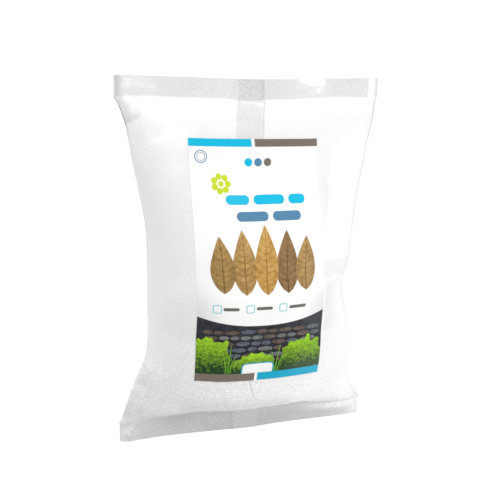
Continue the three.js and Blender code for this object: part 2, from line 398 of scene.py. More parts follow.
def slabFaces(rows, columns):
    # two grids of points, the upper one first, and the four strips that close their rims
    over = np.arange(rows * columns).reshape(rows, columns)
    under = over + rows * columns
    grids = (over, under.T, np.stack([under[:, 0], over[:, 0]], 1), np.stack([over[:, -1], under[:, -1]], 1),
             np.stack([under[0], over[0]]), np.stack([over[-1], under[-1]]))
    quads = [np.stack([g[:-1, :-1], g[:-1, 1:], g[1:, 1:], g[1:, :-1]], -1).reshape(-1, 4) for g in grids]
    return np.concatenate(quads).tolist()


def gridNormals(grid):
    up, along = np.gradient(grid, axis=(0, 1))
    normal = np.cross(along, up)
    return normal / np.maximum(np.linalg.norm(normal, axis=2, keepdims=True), 1e-12)


def storeValues(piece, name, values):
    # the same on the two faces of a sheet
    attribute = piece.data.attributes.new(name, "FLOAT", "POINT")
    attribute.data.foreach_set("value", np.asarray([values, values], np.float32).ravel())


# Film

# Painted shade and painted highlights on the front film, along folds too fine for the mesh, under the bulge
# and where the film catches the lights: points, share of the light lost (below nought for a painted
# highlight), and how far it runs out to the left and the right of the line
frontShades = [
    ([(-84, 92.8), (-79.4, 95.4), (-75.9, 97.1)], 0.13, 3, 0.4),  # ear, top left
    ([(-82.5, 95), (-86.5, 108)], 0.14, 1, 3),
    ([(-79.4, 93.4), (-74.5, 95.8)], -0.05, 0.8, 2.5),
    ([(-85, 109), (-76, 104)], -0.14, 3, 2.2),
    ([(-79.5, 104.5), (-75.8, 99.8)], -0.11, 2.6, 2.4),
    ([(-74, 100), (-71, 93), (-68, 82)], -0.08, 8, 2.5),  # left of the label, upper part
    ([(-74, 106), (-60, 97), (-45, 84)], -0.1, 9, 7),
    ([(-64, 87), (-57, 79), (-51, 66)], -0.08, 10, 7),
    ([(-81, 121), (-74, 118.5), (-64, 117)], -0.09, 3.5, 3.5),  # top seal's left end
    ([(-88.8, 110.5), (-88.8, 125)], 0.14, 1.8, 2.2),
    ([(-84, 116), (-82, 123)], -0.14, 2, 2.4),
    ([(-9, 108.6), (7, 108.2)], -0.18, 0.7, 0.9),  # lap under the top seal
    ([(2, 107), (6, 107.2)], -0.16, 1.2, 1.2),
    ([(-16, 99.4), (4, 99.4)], 0.07, 5, 0.4),
    ([(6.5, 111), (6.5, 124.5)], 0.12, 1, 1.3),
    ([(89.9, 110), (89.9, 125)], 0.35, 0.8, 0.8),  # top seal's right end
    ([(88.3, 111), (88.3, 125)], 0.12, 1, 1),
    ([(82, 100), (70, 90), (56, 82), (48, 70)], 0.015, 0.8, 5),  # right of the label, upper part
    (notchFold, 0.06, 0.6, 0.9),
    ([(42, -6), (42, -40)], 0.1, 8, 1),
    ([(10, -110), (88, -110)], 0.14, 0.6, 0.7),  # along the bottom seal
    ([(-50, -99), (-20, -97), (22, -96)], 0.2, 8.5, 12),
    ([(-91, -109.5), (-50, -109.5)], 0.15, 8, 1.2),
    ([(-45, -117), (56, -117)], -0.11, 7, 9),
    ([(62, -115.5), (72, -115.5), (84, -115)], -0.1, 3, 2.5),
    ([(-72.4, -68.3), (-72.4, -70), (-71.3, -70.9), (-68.4, -68.8)], 0.17, 0.4, 1.4),  # ear, bottom left
    ([(-72.5, -81), (-75.2, -89.4)], -0.07, 0.6, 0.6),
    ([(-73, -72), (-75.5, -82)], 0.12, 4, 3),
    ([(-79, -88), (-86, -105)], 0.07, 4, 4),
    ([(-88, -104), (-74, -101)], 0.06, 5, 5),
    ([(-86, -114), (-83, -118)], -0.12, 5, 4.5),
    ([(-84.2, -119.2), (-82.8, -119.2)], -0.3, 1.7, 1.7),
    ([(86, -112), (87, -121)], -0.08, 3, 3),
]
# painted highlights (below nought) and painted shade in patches: outline, share of the light lost,
# and the width of the outline's soft edge
paintedLightPatches = [
    ([(-85.5, 110), (-80, 106), (-74, 101.7), (-68, 99.2), (86, 99.2), (88.5, 110)], -0.07, 1.2),
    ([(32, 126.5), (32.2, 122.8), (38, 121.2), (43, 119.4), (51.2, 119.3), (51.6, 126.5)], -0.2, 0.9),
    ([(46.7 + 2.1 * math.cos(a / 4), 116 + 2.1 * math.sin(a / 4)) for a in range(0, 25, 2)], -0.2, 0.9),
    ([(83, 109), (86.4, 109), (86.4, 125.5), (83, 125.5)], -0.15, 0.9),
    ([(42, 30), (45.5, 40), (47.5, 55), (50.5, 76), (57, 84), (68, 93), (82, 100), (76, 60), (73, 8),
      (40, 8)], -0.05, 1.6),
    ([(41, 34), (45, 42), (47, 54), (43, 64)], 0.04, 1.5),
    ([(40, 7.5), (40, -2), (52.5, -1.5), (60, -4), (69, -7), (71, 4), (58, 8.5)], 0.05, 1),
    ([(46, -100), (60, -108), (86, -108), (84, -96), (74, -88)], -0.03, 5),
]
# painted shade along the side edges, where the film turns away from the lights, with a little painted
# light low on the left; from the bottom up
edgeShades = {
    # how far in from the side edge a shade starts
    "insetLeft": ((-112, 0), (-65, 1.2), (65, 1.2), (100, 0)),
    "insetRight": ((-85, 0.1), (-65, 2.3), (-45, 3.1), (-15, 3.6), (5, 3.2), (25, 2.6), (45, 1.8), (65, 0.9),
                   (85, 0.3), (98, 0.2), (107, 0.4), (111, 0)),
    # share of the light lost, in front and, on the left, at the back
    "left": ((-108, 0), (-98, 0.04), (-80, 0.04), (-72, -0.04), (-66, 0), (84, 0), (92, 0.25),
             (109, 0.3), (111, 0)),
    "leftBack": ((-20, 0), (50, 0.45), (108, 0.6), (112, 0)),
    "right": ((-60, 0.05), (-30, 0.15), (-5, 0.25), (20, 0.29), (60, 0.31), (90, 0.38), (101, 0.5),
              (109, 0.5), (111, 0.1)),
    "rightSoft": ((-60, 0), (10, 0.03), (60, 0.03), (100, 0)),
    # how far it runs in
    "leftReach": ((0, 0.7),),
    "rightReach": ((-20, 4.5), (30, 4.5), (60, 3.4), (80, 1.4), (95, 0.7)),
    "softReach": ((0, 5),),
}
shadeFade = 0.08  # share of its length over which a shade fades at its ends

film = {
    "thickness": 0.2,
    "sealThickness": 0.28,
    "rowKnots": (-125, -112, -107, -60, 60, 107, 112, 125),
    "rowCounts": (10, 11, 42, 56, 42, 11, 10),
    "lapColumns": 12,
    "frontColumns": 78,
    "backColumns": 44,
    "edgeSteps": (0.2, 0.5, 0.9, 1.6),  # first columns beside an edge, in mm from it
    # how grey the seals are from left to right: the grey of layers pressed together, with painted shade in
    # the bottom seal, where the bulge shades it, and less grey where a highlight is painted, as at the top
    # seal's right end; how grey the lap is, and how much lighter it is in the bottom seal, from the bottom
    # up
    "topPressAndLight": ((-90, 0.2), (-82, 0.15), (-45, 0.3), (-20, 0.2), (13, 0.32), (34, 0.2), (48, 0.12),
                 (60, 0.28), (82.5, 0.28), (83.5, 0), (90, 0)),
    "bottomPressAndShade": ((-90, 0.65), (-70, 0.78), (-25, 0.92), (8, 0.9), (14, 0.82), (36, 0.7), (45, 0.55),
                    (55, 0.25), (65, 0.05), (90, 0)),
    "bottomRimPressAndShade": ((-90, 0.65), (-70, 0.78), (-25, 0.92), (20, 0.92), (45, 0.88), (60, 0.85), (72, 0.7),
                       (80, 0.45), (86, 0.1), (90, 0.05)),
    "lapTone": ((-80, 0), (-40, 0.5), (109, 0.5), (111, 0.42), (125, 0.42)),
    "lapLighter": ((-125, 0.09), (-110, 0.09), (-108, 0), (125, 0)),
    # share of the light lost: painted shadow beside the step at the lap's right edge, and below nought a
    # painted highlight on it near the bottom
    "lapEdgeShade": ((-110, 0), (-107, -0.14), (-88, -0.14), (-82, 0.25), (-66, 0.25), (60, 0.28), (109, 0.28),
                (111, 0)),
    # strength of the film's grain from the bottom up
    "grainUp": ((-125, 2.4), (-110, 3.3), (-75, 2.9), (-55, 1.6), (0, 1.1), (109, 0.8), (111, 1.75),
                (125, 1.75)),
    "lapGrain": 0.5,  # what the lap adds to it
}


def runAlong(x, z, count, atEdges):
    # the curve x, z sampled anew by its own length, and more finely beside its ends if they are edges
    length = np.concatenate([[0], np.cumsum(np.hypot(np.diff(x), np.diff(z)))])
    whole, near = length[-1], np.array(film["edgeSteps"])
    places = np.linspace(0, whole, count)
    if atEdges:
        places = np.linspace(near[-1], whole - near[-1], count)
        places = np.concatenate([[0], near[:-1], places, (whole - near[:-1])[::-1], [whole]])
    return np.interp(places, length, x), np.interp(places, length, z)


def filmSection(y, frontDepth, backDepth, fine=400):
    # round the film: x, z and layer, which is 1 in front on the right and under the lap,
    # 2 in front on the left and over the lap, and -1 at the back
    power = float(edgePower(y))
    right, left = float(halfWidth(1, y)), float(halfWidth(-1, y))
    lapLeft, lapRight = lapEdges(y)

    def outward(x, depth):
        side = np.where(x < 0, left, right)
        return skinAt(x, side) + depth * crown(x, side, power)

    acrossLap = np.linspace(lapLeft, lapRight, 60)
    toRight = right * np.cos(np.linspace(math.acos(lapRight / right), 0, fine))
    atBack = np.concatenate([right * np.cos(np.linspace(0, math.pi / 2, fine)),
                             -left * np.cos(np.linspace(math.pi / 2, 0, fine))[1:]])
    fromLeft = -left * np.cos(np.linspace(0, math.acos(-lapLeft / left), fine))
    runs = []
    for x, layer, columns, atEdges in (
            (acrossLap, 1, "lapColumns", False), (toRight, 1, "frontColumns", True),
            (atBack, -1, "backColumns", True), (fromLeft, 2, "frontColumns", True),
            (acrossLap, 2, "lapColumns", True)):
        z = outward(x, frontDepth) if layer > 0 else -outward(x, backDepth)
        x, z = runAlong(x, z, film[columns], atEdges)
        first = 1 if runs else 0
        runs.append([x[first:], z[first:], np.full(len(x) - first, layer)])
    return np.concatenate(runs, axis=1)


def filmGrid():
    knots = film["rowKnots"]
    runs = [np.linspace(a, b, n, endpoint=False) for a, b, n in zip(knots, knots[1:], film["rowCounts"])]
    rows = np.append(np.concatenate(runs), knots[-1])
    x, z, layer = np.stack([filmSection(*row) for row in zip(rows, *depthsAt(rows))], axis=1)
    y = np.repeat(rows[:, None], x.shape[1], axis=1)
    ahead = layer > 0
    z += pillow["sealHeight"] + np.where(ahead, lumps(x, y), 0)
    z += np.where(layer == 2, lapBump(x, y, lap["softEdge"], math.inf), 0)
    grid = np.stack([x, y + sealDrift(x, y), z], axis=2)
    form = np.where(ahead, creases(x, y, frontCreases) + puckers(x, y, 0.7),
                    creases(x, y, backCreases) + puckers(x, y, 3.1))
    grid += gridNormals(grid) * form[:, :, None]
    grid[:, :, 2] = np.maximum(grid[:, :, 2] + sheetBends(x, y), 0)
    return grid, y, layer


# Painted shade and painted highlights on the film, from the lines, patches and side-edge tables above
def shadeOn(x, y, layer):
    front = 0
    for points, strength, leftReach, rightReach in frontShades:
        away, share = alongLine(x, y, points)
        reach = np.where(away > 0, leftReach, rightReach)
        front = front + strength * np.exp(-(away / reach) ** 2) * lineWindow(share, shadeFade)
    for outline, strength, soft in paintedLightPatches:
        front += strength * withinOutline(x, y, outline, soft)
    aside, half = x - lapMiddle(y), lap["width"] / 2
    front += straightThrough(y, film["lapEdgeShade"]) * np.exp(-((aside - half - 0.4) / 0.6) ** 2) * (layer == 1)
    front -= straightThrough(y, film["lapLighter"]) * (np.abs(aside) < half)
    up = {name: straightThrough(y, table) for name, table in edgeShades.items()}
    onLeft, ahead = x < 0, layer > 0
    inset = np.where(onLeft, up["insetLeft"], up["insetRight"])
    fromSide = np.maximum(0, halfWidth(x, y) - np.abs(x) - inset)
    strength = np.where(onLeft, np.where(ahead, up["left"], up["leftBack"]), up["right"] * ahead)
    reach = np.where(onLeft, up["leftReach"], up["rightReach"])
    softly = up["rightSoft"] * (x > 0) * np.exp(-(fromSide / up["softReach"]) ** 2)
    return (front + softly) * ahead + strength * np.exp(-(fromSide / reach) ** 2)


def makeFilm(material):
    outer, y, layer = filmGrid()
    edge = pillow["sealEdge"]
    # crisp at the top seal, softer at the bottom one
    inSeal = smoothStep(y, edge - 0.5, edge + 0.5) + smoothStep(-y, edge - 1.5, edge + 1.5)
    thickness = lerp(film["thickness"], film["sealThickness"], inSeal)
    inner = outer - gridNormals(outer) * thickness[:, :, None]
    piece = slabPiece("film_pouch", outer, inner, material, 55)
    x = outer[:, :, 0]
    toRim = smoothStep(-y, edge + 3, edge + 9)
    bottom = lerp(straightThrough(x, film["bottomPressAndShade"]), straightThrough(x, film["bottomRimPressAndShade"]), toRim)
    along = np.where(y > 0, straightThrough(x, film["topPressAndLight"]), bottom)
    away = np.abs(x - lapMiddle(y)) - lap["width"] / 2
    inLap = (1 - smoothStep(away, -0.8, 0.4)) * (layer > 0) * straightThrough(y, film["lapTone"])
    # the film's flecks are fainter on the right, where it is most brightly lit
    calm = smoothStep(x, 20, 48) * smoothStep(y, -60, -20) * (1 - smoothStep(y, 109, 111))
    grain = straightThrough(y, film["grainUp"]) * (1 - 0.5 * calm) + film["lapGrain"] * (inLap > 0)
    shade = shadeOn(x, y, layer)
    for name, values in (("press_and_painted_light", inSeal * along), ("lap", inLap), ("grain", grain), ("shade", shade)):
        storeValues(piece, name, values)
    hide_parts("pouch_film")


def filmMaterial():
    # White co-extruded polyethylene film, blown, with a matte outer layer: it scatters light
    # softly, and its fine orange-peel grain breaks the shine up into flecks under a millimetre wide
    material, tree, shader, place = newMaterial("matte_white_polyethylene_film", 0.46, 0.45)
    shares = {name: addNode(tree, "Attribute", output="Fac", attribute_name=name)
              for name in ("press_and_painted_light", "lap", "grain", "shade")}
    fine = addNode(tree, "TexNoise", {"Vector": place, "Scale": 1 / (0.75 * mm), "Detail": 1.5}, "Fac")
    cloud = addNode(tree, "TexNoise", {"Vector": place, "Scale": 1 / (22 * mm)}, "Fac")
    clouded = addNode(tree, "MapRange", {
        "Value": cloud, "From Min": 0.35, "From Max": 0.65, "To Max": 0.25}, "Result")
    tone = addNode(tree, "Mix", {0: clouded, 6: "#EEEEED", 7: "#E6E6E5"}, 2, data_type="RGBA")
    # two layers in the lap, and layers pressed together by the sealing jaws, look greyer; the seals' grey
    # also holds painted shade in the bottom seal and is left lighter where a highlight is painted
    for share, colour in (("lap", "#C9C9C8"), ("press_and_painted_light", "#BBBBBA")):
        tone = addNode(tree, "Mix", {0: shares[share], 6: tone, 7: colour}, 2, data_type="RGBA")
    # flecks either side of the plain tone, stronger where the film is scuffed or pressed
    fleck = addNode(tree, "Math", {0: fine, 1: 0.5}, "Value", operation="SUBTRACT")
    fleck = addNode(tree, "Math", {0: fleck, 1: shares["grain"]}, "Value", operation="MULTIPLY")
    fleck = addNode(tree, "MapRange", {
        "Value": fleck, "From Min": -0.5, "From Max": 0.5, "To Min": 0.845, "To Max": 1.155}, "Result")
    # the painted shade and painted highlights darken or lighten the tone
    lit = addNode(tree, "Math", {0: 1, 1: shares["shade"]}, "Value", operation="SUBTRACT")
    lit = addNode(tree, "Math", {0: lit, 1: fleck}, "Value", operation="MULTIPLY")
    tone = addNode(tree, "Mix", {
        0: 1, 6: tone, 7: lit}, 2, data_type="RGBA", blend_type="MULTIPLY", clamp_result=True)
    tree.links.new(tone, shader.inputs["Base Color"])
    bump = addNode(tree, "Bump", {"Height": fine, "Strength": 0.6, "Distance": 0.07 * mm}, "Normal")
    tree.links.new(bump, shader.inputs["Normal"])
    return material


# Label

label = {
    "width": 86,
    "height": 157.5,
    "x": -2.9,
    "y": 7.6,
    "turn": 0.5,  # degrees
    "shear": -0.022,  # stuck on a little askew
    "pull": 1.4,  # how far its right edge is drawn in half way up
    "lift": 0.12,
    "thickness": 0.12,
    "spacing": 1.5,
    "lapRun": 10,  # over which it comes down beside the lap
    "fadeOut": (22, 46),  # the grey tint grows from the middle outwards
    "fadeDown": (-4, 34),  # and downwards
}


def onFront(across, along, lift):
    turn = math.radians(label["turn"])
    across = across - label["pull"] * smoothStep(across, 10, 43) * (1 - (2 * along / label["height"]) ** 2)
    along = along + label["shear"] * across
    x = label["x"] + across * math.cos(turn) - along * math.sin(turn)
    y = label["y"] + across * math.sin(turn) + along * math.cos(turn)
    height = frontHeight(x, y) + lapBump(x, y, label["lapRun"], label["lapRun"])
    return np.stack([x, y, height + label["lift"] + lift], axis=-1)


def makeLabel(material):
    across, along = np.meshgrid(*[
        np.linspace(-0.5, 0.5, int(label[side] / label["spacing"]) + 1) * label[side]
        for side in ("width", "height")])
    upper, lower = (onFront(across, along, lift) for lift in (label["thickness"], 0))
    piece = slabPiece("label_sheet", upper, lower, material)
    fade = smoothStep(np.abs(across + 2), *label["fadeOut"]) * smoothStep(-along, *label["fadeDown"])
    storeValues(piece, "fade", fade)
    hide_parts("front_label")


def labelMaterial():
    # Coated label paper with a satin varnish: nearly white, a little sleeker than the film,
    # with a grey tint printed towards its lower corners
    material, tree, shader, place = newMaterial("satin_coated_label_paper", 0.36, 0.4)
    fade = addNode(tree, "Attribute", output="Fac", attribute_name="fade")
    fibre = addNode(tree, "TexNoise", {
        "Vector": place, "Scale": 1 / (0.5 * mm), "Detail": 3, "Roughness": 0.6}, "Fac")
    paper = addNode(tree, "Mix", {0: fibre, 6: "#F9F9F8", 7: "#FDFDFC"}, 2, data_type="RGBA")
    tinted = addNode(tree, "Mix", {0: fade, 6: paper, 7: "#DDDEDF"}, 2, data_type="RGBA")
    tree.links.new(tinted, shader.inputs["Base Color"])
    bump = addNode(tree, "Bump", {"Height": fibre, "Strength": 0.25, "Distance": 0.02 * mm}, "Normal")
    tree.links.new(bump, shader.inputs["Normal"])
    return material


# Printed design: thin closed films of ink on the label

ink = {
    "lift": 0.03,  # of the first layer
    "step": 0.05,  # from one layer to the next
    "thickness": 0.03,
    "cut": 2,  # outlines are cut this fine, so that they bend with the label
}
# millimetres across and up from the label's middle
design = {
    "inks": {"cyan": "#00BEE4", "deep_cyan": "#00A9CB", "taupe": "#7A6F65", "lime": "#C8DA00",
             "steel_blue": "#5587AA", "pale_cyan": "#86CFDA", "grey": "#6E6A66"},
    # upper and lower edge, and the corners across, from the upper left one by way of the lower ones
    "bands": {"top_band_left": ("cyan", 78.75, 73.9, (-43, -43, -2.6, -3.1)),
              "top_band_right": ("taupe", 78.75, 73.9, (-1, -0.5, 43, 43)),
              "bottom_band_left": ("taupe", -72.7, -78.75, (-43, -43, -4.1, -3.9)),
              "bottom_band_right": ("deep_cyan", -72.7, -78.75, (-2, -2.1, 43, 43))},
    # middle, and the outer and inner radius of each
    "rings": ((-35.6, 67.5, 4, 3.5), (-35.6, 67.5, 2.7, 2.4)),
    "dots": {"left": (-5, "cyan"), "middle": (1.5, "steel_blue"), "right": (8, "taupe")},
    "dotUp": 64, "dotRadius": 2.6,
    # middle across and up, number of petals, how far out they stand, their radius, and the heart's
    "rosette": (-24, 51, 7, 4.4, 1.95, 1.7),
    # lower and upper edge, and the ends of each bar
    "bars": {"upper": ("cyan", 38.6, 44.4, ((-22, -7), (-4, 17), (20, 32))),
             "lower": ("steel_blue", 28.6, 34.4, ((-16, 5), (8, 28)))},
    # middle, foot, width, height, lean, dark and light tone
    "leaves": ((-26.5, -15.3, 17, 35, -2, "#7F6134", "#BE9A5C"),
               (-12.8, -16.3, 17.5, 40, -1, "#8F6B37", "#CFA968"),
               (1.2, -16.6, 17.5, 43, 0.5, "#A5752F", "#DDB56C"),
               (15.2, -16, 17.5, 39, 1.2, "#6F5434", "#A98557"),
               (28.6, -15, 17, 34, 2.2, "#86673A", "#C7A161")),
    # left end of each box, ends of its bar
    "ticks": ((-34, -27.7, -17.7), (-13.2, -6.5, 4.3), (8.7, 15.6, 28.3)),
    # width, lower and upper edge, and rim of a box; lower and upper edge of a bar
    "tickBox": (5.4, -28, -22.4, 0.55), "tickBar": (-26.2, -24.1),
    # the picture along the bottom
    "stoneRows": (-41.6, -45.9, -50.2, -54.5, -58.8, -63.1),
    "stones": {"blue_grey": ("#343842", "#737A88"), "brown_grey": ("#3B312C", "#7B6A5F"),
               "pale_grey": ("#4A4B4C", "#8F918F")},
    # middle, foot, width, height and seed
    "mounds": {"right": (28, -71, 36, 23, 5), "middle": (-6, -72, 34, 14, 8), "left": (-34, -71, 30, 25, 3)},
    # place, height and lean
    "blades": ((-24, 17, -3), (-22.6, 21, 1.5), (-21.4, 15, 4), (8.5, 16, -2.5), (9.8, 20, 2),
               (11.2, 14, 4.5)),
}


def disc(u, v, radius, count=32, squash=1):
    angles = np.linspace(0, 2 * math.pi, count, endpoint=False)
    return [(u + radius * math.cos(a), v + radius * squash * math.sin(a)) for a in angles]


def roundedBox(u0, u1, v0, v1, radius, squareFoot=False, count=6):
    quarters = [(u1 - radius, v1 - radius, 0), (u0 + radius, v1 - radius, 90),
                (u0 + radius, v0 + radius, 180), (u1 - radius, v0 + radius, 270)]
    outline = [(u + radius * math.cos(a), v + radius * math.sin(a)) for u, v, start in quarters
               for a in np.radians(np.linspace(start, start + 90, count))]
    return outline[:2 * count] + [(u0, v0), (u1, v0)] if squareFoot else outline


def frameBetween(outer, inner):
    count = len(outer)
    return [[outer[i], outer[(i + 1) % count], inner[(i + 1) % count], inner[i]] for i in range(count)]


def stroke(points, widths):
    # a drawn line as quads, of the widths given at its two ends
    points = np.asarray(points, float)
    along = np.gradient(points, axis=0)
    side = np.stack([-along[:, 1], along[:, 0]], 1) / np.linalg.norm(along, axis=1)[:, None]
    width = np.linspace(*widths, len(points))[:, None] / 2
    left, right = points + side * width, points - side * width
    return [[right[i], right[i + 1], left[i + 1], left[i]] for i in range(len(points) - 1)]


def printPiece(name, outlines, material, layer=0, glow=None):
    # outlines are in millimetres from the label's middle, and a higher layer lies on a lower one
    mesh = bmesh.new()
    for outline in outlines:
        mesh.faces.new([mesh.verts.new((u, v, 0)) for u, v in outline])
    bmesh.ops.remove_doubles(mesh, verts=mesh.verts[:], dist=0.002)
    cut = ink["cut"]
    for axis, normal in enumerate(((1, 0, 0), (0, 1, 0))):
        places = [v.co[axis] for v in mesh.verts]
        for k in range(math.ceil(min(places) / cut), math.floor(max(places) / cut) + 1):
            bmesh.ops.bisect_plane(mesh, geom=mesh.verts[:] + mesh.edges[:] + mesh.faces[:], dist=0.0005,
                                   plane_co=Vector(normal) * k * cut, plane_no=normal)
    bmesh.ops.triangulate(mesh, faces=mesh.faces[:])
    for face in mesh.faces:
        if face.normal.z < 0:
            face.normal_flip()
    mesh.verts.index_update()
    flat = np.array([v.co[:] for v in mesh.verts])
    tops = [[v.index for v in face.verts] for face in mesh.faces]
    rims = [[v.index for v in (edge.link_loops[0].vert, edge.link_loops[0].link_loop_next.vert)]
            for edge in mesh.edges if len(edge.link_faces) == 1]
    mesh.free()
    count = len(flat)
    base = label["thickness"] + ink["lift"] + layer * ink["step"]
    u, v = flat[:, 0], flat[:, 1]
    upper, lower = onFront(u, v, base + ink["thickness"]), onFront(u, v, base)
    faces = tops + [[i + count for i in reversed(face)] for face in tops]
    faces += [[b, a, a + count, b + count] for a, b in rims]
    piece = meshPiece(f"print_{name}", np.concatenate([upper, lower]), faces, material, smooth=False)
    if glow:
        storeValues(piece, "glow", glow(u, v))


def inkMaterial(name, colour, mottle=0.05):
    # Offset ink under satin varnish: flat colour, with a faint screen mottle half a millimetre wide
    material, tree, shader, place = newMaterial(name, 0.36, 0.25)
    screen = addNode(tree, "TexNoise", {"Vector": place, "Scale": 1 / (0.5 * mm)}, "Fac")
    darker = toLinear(colour, 1 - mottle)
    tone = addNode(tree, "Mix", {0: screen, 6: darker, 7: colour}, 2, data_type="RGBA")
    tree.links.new(tone, shader.inputs["Base Color"])
    return material


def picturedMaterial(name, dark, light, fleck):
    # Offset ink of a picture: two printed tones broken up in flecks of the size given in millimetres
    material, tree, shader, place = newMaterial(name, 0.36, 0.25)
    glow = addNode(tree, "Attribute", output="Fac", attribute_name="glow")
    flecks = addNode(tree, "TexNoise", {
        "Vector": place, "Scale": 1 / (fleck * mm), "Detail": 3, "Roughness": 0.65}, "Fac")
    shifted = addNode(tree, "MapRange", {
        "Value": flecks, "From Min": 0.3, "From Max": 0.7, "To Min": -0.35, "To Max": 0.35}, "Result")
    share = addNode(tree, "Math", {0: glow, 1: shifted}, "Value", operation="ADD", use_clamp=True)
    tone = addNode(tree, "Mix", {0: share, 6: dark, 7: light}, 2, data_type="RGBA")
    tree.links.new(tone, shader.inputs["Base Color"])
    return material


def bladeHalf(width, t):
    # half the width of a leaf with a drawn-out tip
    return width / 2 * math.sin(math.pi * t ** 0.8) ** 0.85 * (1 - 0.25 * t)


def pointedLeaf(u, base, width, height, lean, count=16):
    left, right = [], [(u, base)]
    for t in np.arange(1, count) / count:
        middle, v = u + lean * t * t, base + height * t
        left.append((middle - bladeHalf(width, t), v))
        right.append((middle + bladeHalf(width, t), v))
    return right + [(u + lean, base + height)] + left[::-1]


def leafVeins(u, base, width, height, lean):
    def spine(t):
        return np.array([u + lean * t * t, base + height * t])
    lines = stroke([spine(t) for t in np.linspace(0.02, 0.95, 12)], (0.9, 0.3))
    for t in np.linspace(0.1, 0.78, 8):
        start, reach = spine(t), t + 0.09
        for side in (-1, 1):
            end = spine(reach) + [side * bladeHalf(width, reach) * 0.84, 0]
            bend = start + (end - start) * 0.5 - [0, height * 0.012]
            points = [start + (bend - start) * s / 3 for s in range(3)] + [bend, end]
            lines += stroke(np.array(points) + [side * 0.42, 0], (0.3, 0.15))
    return lines


def roughMound(u, v, width, height, seed, count=64, floor=-72.55, edge=42.9):
    bumps = np.random.default_rng(seed).normal(0, 1, count)
    bumps = (bumps + np.roll(bumps, 1) * 0.6) * 0.055
    angles = np.arange(count) * 2 * math.pi / count
    swell = 1 + bumps * np.maximum(0, np.sin(angles) + 0.35)  # rough above, smooth below
    across = np.clip(u + width / 2 * np.cos(angles) * swell, -edge, edge)
    up = np.maximum(floor, v + height * np.sin(angles) * swell)
    outline = list(zip(across, up))
    return [p for i, p in enumerate(outline) if p != outline[i - 1]]


def pictureTop(u):
    return -37.6 + 0.006 * u + 0.0036 * u * u


def makePrint():
    inks = {name: inkMaterial(f"{name}_offset_ink", colour) for name, colour in design["inks"].items()}
    for name, (coat, top, low, corners) in design["bands"].items():
        printPiece(name, [zip(corners, (top, low, low, top))], inks[coat])
    ring = []
    for u, v, outer, inner in design["rings"]:
        ring += frameBetween(disc(u, v, outer, 40), disc(u, v, inner, 40))
    printPiece("rings", ring, inks["steel_blue"])
    for name, (u, coat) in design["dots"].items():
        printPiece(f"dots_{name}", [disc(u, design["dotUp"], design["dotRadius"])], inks[coat])
    u, v, count, out, petal, heart = design["rosette"]
    discs = [(*centre, petal) for centre in disc(u, v, out, count)] + [(u, v, heart)]
    printPiece("rosette", [disc(*p, 24) for p in discs], inks["lime"])
    for name, (coat, low, top, ends) in design["bars"].items():
        printPiece(f"bars_{name}", [roundedBox(a, b, low, top, 2.8) for a, b in ends], inks[coat])

    for number, (u, base, width, height, lean, dark, light) in enumerate(design["leaves"], 1):
        tone = picturedMaterial(f"brown_leaf_offset_ink_{number}", dark, light, 3)
        vein = inkMaterial(f"leaf_vein_offset_ink_{number}", dark, 0.2)
        layer = number % 2 * 2  # each lies over or under its neighbour
        # lighter along the midrib and towards the tip
        printPiece(f"leaf_{number}", [pointedLeaf(u, base, width, height, lean)], tone, layer,
                   lambda a, b: 0.62 - 0.035 * np.abs(a - u) - 0.006 * (base + height / 2 - b))
        printPiece(f"leaf_veins_{number}", leafVeins(u, base, width, height, lean), vein, layer + 1)

    boxes, bars = [], []
    width, low, top, rim = design["tickBox"]
    for u, start, end in design["ticks"]:
        outer = roundedBox(u, u + width, low, top, 1.1)
        inner = roundedBox(u + rim, u + width - rim, low + rim, top - rim, 0.7)
        boxes += frameBetween(outer, inner)
        bars.append(roundedBox(start, end, *design["tickBar"], 1))
    printPiece("tick_boxes", boxes, inks["pale_cyan"])
    printPiece("tick_bars", bars, inks["grey"])

    field = [(-43, -72.7), (43, -72.7)] + [(u, pictureTop(u)) for u in np.linspace(43, -43, 44)]
    slate = picturedMaterial("dark_slate_offset_ink", "#0D0E11", "#3A3D45", 5)
    printPiece("picture_field", [field], slate, 0, lambda a, b: 0.25 + 0.012 * (b + 60))
    # rows of stones, each a little less wide than its share of the row, below the picture's edge
    draw = np.random.default_rng(11)
    stones = {name: [] for name in design["stones"]}
    names = list(stones)
    for row, v in enumerate(design["stoneRows"]):
        u = -39.5 + 2 * (row % 2)
        while u < 41:
            width = draw.uniform(6, 11)
            if u + width < 42.5 and v + 2.2 < pictureTop(u + width / 2) - 0.6:
                outline = disc(u + width / 2, v + draw.uniform(-0.3, 0.3), width / 2 - 0.35, 26, 3.2 / width)
                stones[names[draw.integers(3)]].append(outline)
            u += width
    for name, outlines in stones.items():
        stone = picturedMaterial(f"{name}_stone_offset_ink", *design["stones"][name], 2.5)
        printPiece(f"stones_{name}", outlines, stone, 1, lambda a, b: np.full(len(a), 0.45))
    for name, (u, v, width, height, seed) in design["mounds"].items():
        moss = picturedMaterial(f"green_moss_offset_ink_{name}", "#0F3A12", "#9CD022", 1.8)
        printPiece(f"moss_{name}", [roughMound(u, v, width, height, seed)], moss, 2,
                   lambda a, b: -0.1 + 1.05 * np.clip((b - v) / height, 0, 1))
    blades = []
    for u, tall, lean in design["blades"]:
        path = [(u + lean * t * t, -72.4 + tall * t) for t in np.linspace(0, 1, 9)]
        blades += stroke(path, (1.1, 0.2))
    grass = picturedMaterial("grass_green_offset_ink", "#2E7A1E", "#8CCB2A", 1.6)
    printPiece("grass", blades, grass, 3, lambda a, b: 0.2 + 0.04 * (b + 72))
    printPiece("tab_rim", [roundedBox(-13.8, 8.4, -72.75, -64.6, 3, True)], inks["deep_cyan"], 4)
    white = inkMaterial("white_offset_ink", "#F7F8F7", 0.01)
    printPiece("tab", [roundedBox(-13, 7.6, -72.75, -65.4, 2.4, True)], white, 5)


# Leaves inside the pouch

